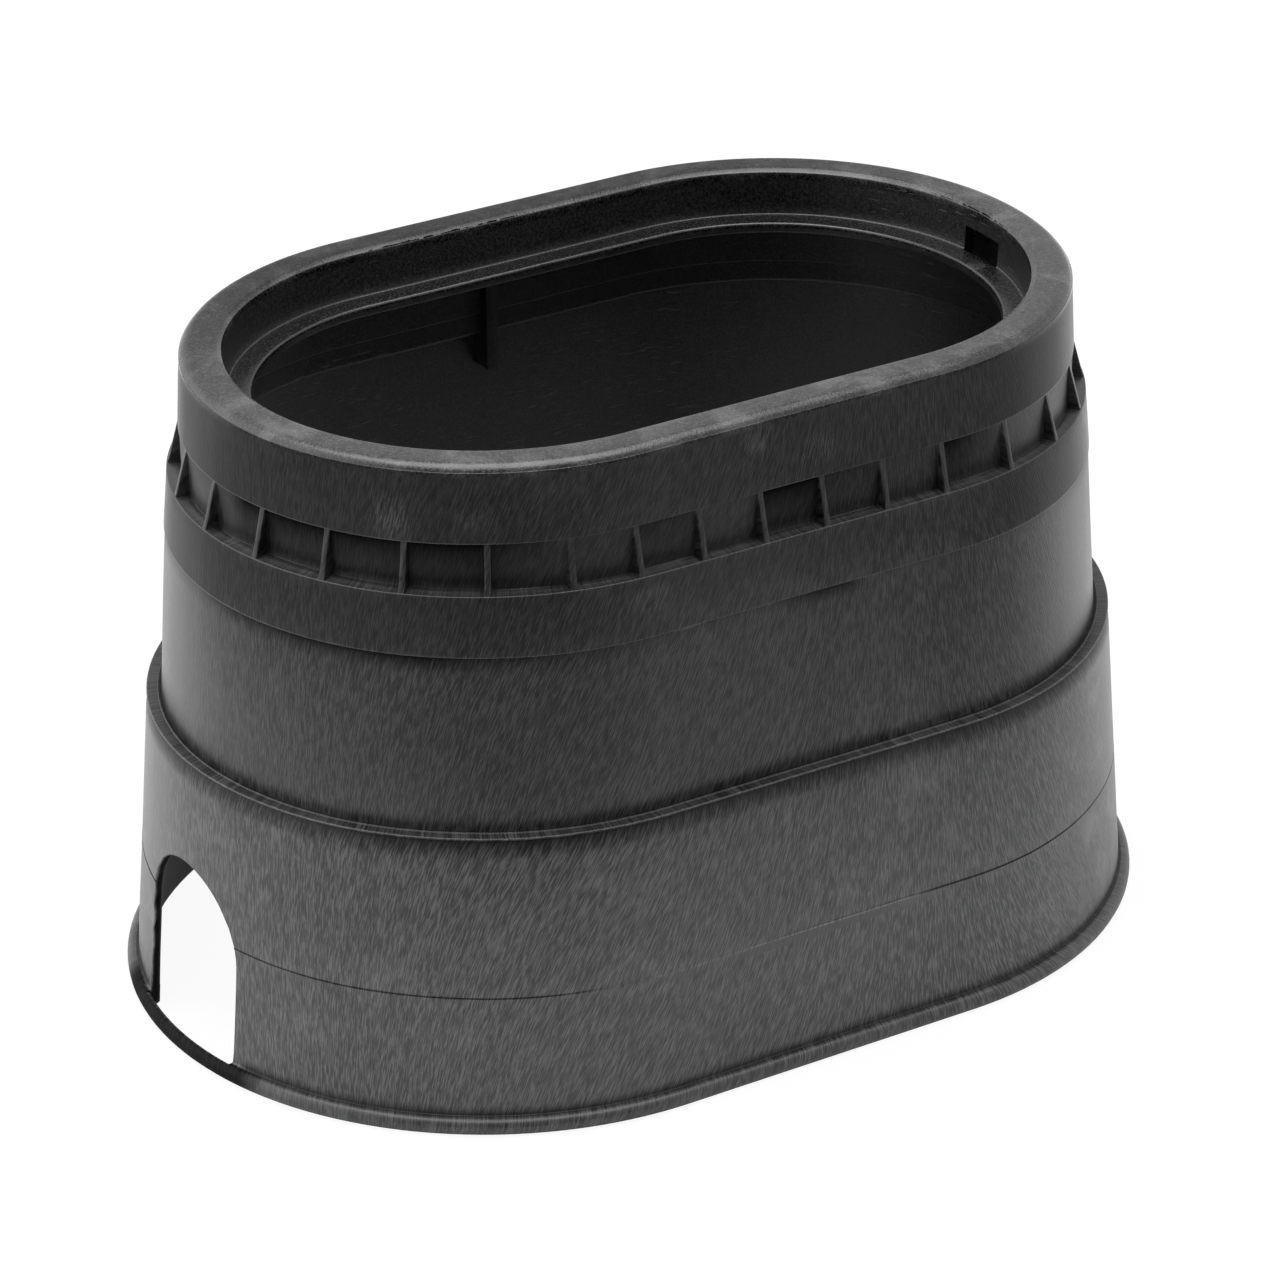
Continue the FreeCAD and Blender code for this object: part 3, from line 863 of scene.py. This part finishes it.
def plastic(look):
    """Black moulded polyethylene: fine drawn grain, cloudy flow marks and a patchy rim top.

    Outside, painted light makes it lighter towards the foot of the skirt but darker on the bead, and
    inside painted shade darkens it. On the rim top and inside, the streaks give way to speckle, and
    inside there are sparse level dashes. The parting line has a painted highlight along the middle of
    the sides and painted shade elsewhere. Where painted shade is marked, a darker matt shader takes over.
    """
    finish = Finish("moulded_black_plastic")
    place = finish.node("ShaderNodeTexCoord", output=3)
    x, z = finish.axes(place, 0, 2)
    inside, shade = (finish.node("ShaderNodeAttribute", {"attribute_name": name}, output=2)
                     for name in ("inside", "shade"))
    outside = 1.0 - inside
    rim = z.ramp(*RIM_EDGE)

    streak = drawn_grain(finish, look, place)
    speck = finish.noise(place, SPECK_SCALE, 3.0, 0.7)
    cloud = finish.noise(place, CLOUD_SCALE, 3.0, 0.6, 0.6)
    drift = finish.noise(place, DRIFT_SCALE, 2.0, 0.5, 0.4)
    dash = finish.noise(finish.vector("MULTIPLY", place, DASH_SCALE), 1.0, 1.0, 0.5).ramp(0.66, 0.74)
    dash = dash * drift.ramp(0.45, 0.6) * inside
    patch = cloud.ramp(0.52, 0.75) * drift.ramp(0.35, 0.7)
    grain = streak + rim.math("MAXIMUM", inside) * (speck - streak)

    seam_highlight = x.between(*SEAM_HIGHLIGHT_EDGES)
    seam = (1.0 - (z - PARTING_Z * MM).math("ABSOLUTE").ramp(*SEAM_EDGE)) * outside
    smear = z.between(*SMEAR_EDGES) * x.between(*SMEARED_EDGES) * outside
    painted_light_and_flow_marks = (1.4 + 0.5 * z.ramp(*FOOT_EDGE) - 0.85 * z.ramp(*SHOULDER_EDGE) - 0.45 * z.ramp(*STEP_EDGE)
            + 1.4 * flow_marks(finish, place, cloud))
    # Painted shade from the attribute, and painted shade on the parting line away from its painted highlight
    dark = shade.math("MAXIMUM", 0.7 * seam * (1.0 - seam_highlight))
    # Tone: painted light by height and the flow marks, a darker tone inside as painted shade, the parting
    # line's painted highlight, and painted shade
    tone = (painted_light_and_flow_marks + inside * (INSIDE_PAINTED_TONE - painted_light_and_flow_marks)) * (1.0 + 1.8 * seam * seam_highlight) * (1.0 - dark)
    light = grain.ramp(0.40, 0.66)
    light = light + 0.7 * smear * (0.3 - light)
    brushed = rim * (speck.ramp(0.42, 0.78) + 2.6 * cloud.ramp(0.45, 0.68))
    level = tone * (0.15 + 1.85 * light + 0.8 * patch + 0.6 * (drift - 0.5) + brushed) + 0.8 * dash

    tint = look.plastic_colour
    colour = finish.mix(level * (1.0 / LIGHTEST), grey(0.0, tint), grey(LIGHTEST, tint))
    polish = 0.06 * patch + 0.15 * inside * z.between(*SEAT_EDGES) + 0.2 * rim
    roughness = (look.plastic_roughness + 0.3 * (grain - 0.5) + 0.25 * rim * (speck - 0.5)
                 + 0.15 * (drift - 0.5) - polish)
    normal = finish.node("ShaderNodeBump", None,
                         {"Strength": look.grain_strength, "Distance": look.grain_depth,
                          "Height": grain + dash + rim * (0.3 * speck + 2.5 * cloud)})
    surface = {"Base Color": colour, "Normal": normal}
    glossy = finish.principled({**surface, "Roughness": roughness, "IOR": look.plastic_ior})
    # Matt shader that the painted shade mixes in
    dull = finish.principled({**surface, **MATT})
    shader = finish.node("ShaderNodeMixShader", None, {0: dark, 1: glossy, 2: dull})
    finish.node("ShaderNodeOutputMaterial", None, {"Surface": shader})
    return finish.material


def floor_finish(stage):
    """Pale floor: in the light it dims away from the foot in front, and to the camera it is near white.

    The camera sees plain white with a share of an evenly pale floor, which keeps the shadow.
    Distance is measured from the oval's spine. The floor's colour is a painted pool of light, which stays
    bright further on the left.
    """
    finish = Finish("studio_floor")
    camera = finish.node("ShaderNodeLightPath", output=0)
    place = finish.node("ShaderNodeTexCoord", output=3)
    x, y = finish.axes(place, 0, 1)
    past = (x.math("ABSOLUTE") - SPINE_HALF * MM).math("MAXIMUM", 0.0)
    out = (past * past + y * y).math("SQRT")
    # Painted pool of light on the floor: it dims with distance from the spine, in front only, and reaches
    # further on the left
    pale, dim = (*stage.floor_colour, 1.0), (*[stage.floor_dim * c for c in stage.floor_colour], 1.0)
    ahead, aside = (finish.vector("DOT_PRODUCT", place, axis, output=1) for axis in (HEADING, ACROSS))
    front = 1.0 - ahead.ramp(-0.05, 0.3)
    near = stage.floor_near + stage.floor_left * (aside * -1.0).ramp(0.1, 0.35)
    colour = finish.mix(out.ramp(near, stage.floor_far) * front, pale, dim)
    lit, plain = (finish.principled({"Base Color": tone, **MATT}) for tone in (colour, pale))
    white = finish.node("ShaderNodeEmission", None, {"Color": (1.0, 1.0, 1.0, 1.0), "Strength": 1.0})
    seen = finish.node("ShaderNodeMixShader", None, {0: stage.shadow_share, 1: white, 2: plain})
    shader = finish.node("ShaderNodeMixShader", None, {0: camera, 1: lit, 2: seen})
    finish.node("ShaderNodeOutputMaterial", None, {"Surface": shader})
    return finish.material


def number(name, description, default, most, least=0.0, **kind):
    """A number that a user can set."""
    return FloatProperty(name=name, description=description, default=default, min=least, max=most, **kind)


def length(name, description, default, most, least=0.0):
    """A length in metres that a user can set."""
    return number(name, description, default, most, least, unit="LENGTH", precision=5)


def angle(name, description, default, most, least=0.0):
    """An angle that a user can set, given here in degrees and kept in radians."""
    default, most, least = (math.radians(x) for x in (default, most, least))
    return number(name, description, default, most, least, subtype="ANGLE")


def fraction(name, description, default):
    """A share of 1 that a user can set."""
    return number(name, description, default, 1.0, subtype="FACTOR")


def paint(name, description, default):
    """A colour that a user can set."""
    return FloatVectorProperty(name=name, description=description, default=default,
                               size=3, min=0.0, max=1.0, subtype="COLOR")


class ValveBoxShape(bpy.types.PropertyGroup):
    """Small shapes of the moulding that the solid leaves out."""

    sink_depth: length("Sink depth", "How far the skirt sinks in below the shoulder's lip", 0.0016, 0.003)
    parting_step: length("Parting step", "Step between the mould halves round the skirt", 0.0005, 0.002)
    wall_wave: length("Wall wave", "Unevenness of the walls", 0.0002, 0.002)
    crease: angle("Crease", "Edges that turn further than this stay sharp", 38.0, 180.0)


class ValveBoxLook(bpy.types.PropertyGroup):
    """Finish of the plastic."""

    plastic_colour: paint("Plastic colour", "Middle colour of the plastic", (0.021, 0.021, 0.0217))
    plastic_roughness: fraction("Roughness", "Middle roughness of the plastic", 0.4)
    plastic_ior: number("Refraction", "Refractive index of the plastic", 1.54, 2.5, 1.0)
    grain_width: length("Grain width", "Width of one streak of the grain", 0.0005, 0.01, 0.0001)
    grain_stretch: fraction("Grain stretch", "Width of a streak over its length", 0.08)
    grain_lean: angle("Grain lean", "Lean of the streaks where they lean most", 25.0, 45.0, -45.0)
    grain_depth: length("Grain depth", "Depth of the grain", 0.0002, 0.002)
    grain_strength: fraction("Grain strength", "Share of the grain that shows in the light", 0.6)


class ValveBoxStage(bpy.types.PropertyGroup):
    """Floor, light and camera."""

    floor_colour: paint("Floor colour", "Colour of the floor in the light", (0.85, 0.85, 0.85))
    # Painted pool of light on the floor: the share left far off, how far it stays bright, how much further
    # on the left and how far it has dimmed
    floor_dim: fraction("Floor dim", "Share of the floor's colour that is left far from the object", 0.12)
    floor_near: length("Bright floor", "How far from the spine the floor stays bright", 0.28, 5.0)
    floor_left: length("Bright left", "How much further the floor stays bright on the left", 0.2, 5.0)
    floor_far: length("Dim floor", "How far from the spine the floor has dimmed", 0.62, 5.0)
    shadow_share: fraction("Shadow share", "Share of the floor's own shade that the camera sees", 0.08)
    sky_front: number("Front surroundings", "Brightness of the room on the camera's side", 0.14, 4.0)
    sky_left: number("Left surroundings", "Brightness of the room on the camera's left", 2.4, 4.0)
    sky_right: number("Right surroundings", "Brightness of the room on the camera's right", 1.2, 4.0)
    sky_back: number("Back surroundings", "Brightness of the room behind the object", 0.8, 4.0)
    lamp_level: number("Overhead lamp", "Brightness of the soft lamp overhead", 4.0, 50.0)
    lens: number("Lens", "Focal length of the camera", 153.21, 1000.0, 1.0, unit="CAMERA")


class VALVEBOX_OT_body(bpy.types.Operator):
    """Build the moulded body with its gussets, ribs, cut-outs and slots"""

    bl_idname = "valvebox.body"
    bl_label = "Moulded body"

    def execute(self, context):
        scene = context.scene
        body = Body(scene.valve_box_shape)
        piece = make_piece("moulded_body", body.points(), body.faces, body.marks(),
                           plastic(scene.valve_box_look), scene.valve_box_shape.crease)
        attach(piece, BODY)
        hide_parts(NODE)
        return {"FINISHED"}


class VALVEBOX_OT_flash(bpy.types.Operator):
    """Add the torn strips of flash on the edges of the mouth and the lid seat"""

    bl_idname = "valvebox.flash"
    bl_label = "Flash"

    def execute(self, context):
        scene = context.scene
        body = bpy.data.objects.get("moulded_body")
        if body is None:
            raise RuntimeError("the moulded body has to be built first")
        for name, shade, *shape in FLASH:
            points, faces = flash_strip(*shape)
            # Each strip's painted shade, from its row in FLASH
            marks = {"shade": np.full(len(points), shade)}
            piece = make_piece(name, points, faces, marks,
                               body.data.materials[0], scene.valve_box_shape.crease)
            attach(piece, BODY)
        return {"FINISHED"}


class VALVEBOX_OT_stage(bpy.types.Operator):
    """Lay the floor, light it and set the camera at the photograph's place"""

    bl_idname = "valvebox.stage"
    bl_label = "Studio"

    FLOOR_HALF, FLOOR_DROP = 6.0, 0.0002
    CAMERA_PLACE = (-1.16333, -1.89764, 1.26390)
    CAMERA_RIGHT = (0.85066, -0.52569, -0.00468)
    CAMERA_UP = (0.24114, 0.38226, 0.89203)
    CAMERA_AHEAD = (0.46717, 0.75994, -0.45193)
    SENSOR = 36.0
    LAMP_PLACE, LAMP_SIDE = (0.0, 0.0, 2.2), 2.0

    def execute(self, context):
        scene = context.scene
        stage = scene.valve_box_stage
        self.lay_floor(scene, stage)
        self.light(scene, stage)
        self.set_camera(scene, stage)
        scene.view_settings.view_transform = "Standard"
        return {"FINISHED"}

    def lay_floor(self, scene, stage):
        """A flat square of floor just under the foot."""
        half = self.FLOOR_HALF
        mesh = bpy.data.meshes.new("floor")
        corners = [(-half, -half, 0), (half, -half, 0), (half, half, 0), (-half, half, 0)]
        mesh.from_pydata(corners, [], [(0, 1, 2, 3)])
        mesh.materials.append(floor_finish(stage))
        floor = bpy.data.objects.new("floor", mesh)
        floor.location.z = -self.FLOOR_DROP
        scene.collection.objects.link(floor)

    def light(self, scene, stage):
        """White surroundings, bright at the sides and dim in front, and a soft lamp overhead.

        The shares of back, sides and front follow the squared cosine and sine of the heading.
        """
        sky = Finish("surroundings", bpy.data.worlds)
        toward = sky.node("ShaderNodeTexCoord", output=0)
        ahead, aside = (sky.vector("DOT_PRODUCT", toward, axis, output=1) for axis in (HEADING, ACROSS))
        ways = ((ahead, stage.sky_back), (ahead * -1.0, stage.sky_front),
                (aside, stage.sky_right), (aside * -1.0, stage.sky_left))
        flat = ahead * ahead + aside * aside + 1e-6
        lit = sum(level * way.math("MAXIMUM", 0.0) ** 2.0 for way, level in ways) / flat
        camera = sky.node("ShaderNodeLightPath", output=0)
        shader = sky.node("ShaderNodeBackground", None,
                          {"Color": (1.0, 1.0, 1.0, 1.0), "Strength": lit + camera * (1.0 - lit)})
        sky.node("ShaderNodeOutputWorld", None, {"Surface": shader})
        scene.world = sky.material
        lamp = bpy.data.lights.new("overhead_lamp", "AREA")
        lamp.shape = "RECTANGLE"
        lamp.size = lamp.size_y = self.LAMP_SIDE
        lamp.energy = math.pi * self.LAMP_SIDE ** 2 * stage.lamp_level
        holder = bpy.data.objects.new("overhead_lamp", lamp)
        holder.location = self.LAMP_PLACE
        holder.visible_camera = False
        scene.collection.objects.link(holder)

    def set_camera(self, scene, stage):
        """The photograph's camera, from its place and its three directions."""
        data = bpy.data.cameras.new("photo_camera")
        data.sensor_width = self.SENSOR
        data.lens = stage.lens
        data.clip_end = 100.0
        camera = bpy.data.objects.new("photo_camera", data)
        axes = Matrix((self.CAMERA_RIGHT, self.CAMERA_UP, [-x for x in self.CAMERA_AHEAD])).transposed()
        camera.matrix_world = Matrix.Translation(self.CAMERA_PLACE) @ axes.to_4x4()
        scene.collection.objects.link(camera)
        scene.camera = camera


class VALVEBOX_PT_panel(bpy.types.Panel):
    """Sidebar panel of the valve box"""

    bl_label = "Valve box"
    bl_idname = "VALVEBOX_PT_panel"
    bl_space_type = "VIEW_3D"
    bl_region_type = "UI"
    bl_category = "Valve box"

    def draw(self, context):
        scene = context.scene
        for group in (scene.valve_box_shape, scene.valve_box_look, scene.valve_box_stage):
            box = self.layout.box()
            for name in group.bl_rna.properties.keys():
                if name not in {"rna_type", "name"}:
                    box.prop(group, name)
        for operator in OPERATORS:
            self.layout.operator(operator.bl_idname)


GROUPS = {
    "valve_box_shape": ValveBoxShape,
    "valve_box_look": ValveBoxLook,
    "valve_box_stage": ValveBoxStage,
}
OPERATORS = (VALVEBOX_OT_body, VALVEBOX_OT_flash, VALVEBOX_OT_stage)
CLASSES = (*GROUPS.values(), *OPERATORS, VALVEBOX_PT_panel)


def register():
    for cls in CLASSES:
        bpy.utils.register_class(cls)
    for name, group in GROUPS.items():
        setattr(bpy.types.Scene, name, PointerProperty(type=group))


def unregister():
    for name in GROUPS:
        delattr(bpy.types.Scene, name)
    for cls in reversed(CLASSES):
        bpy.utils.unregister_class(cls)


def main():
    register()
    bpy.ops.valvebox.body()
    bpy.ops.valvebox.flash()
    bpy.ops.valvebox.stage()
    bpy.context.view_layer.update()


if __name__ == "__main__":
    main()
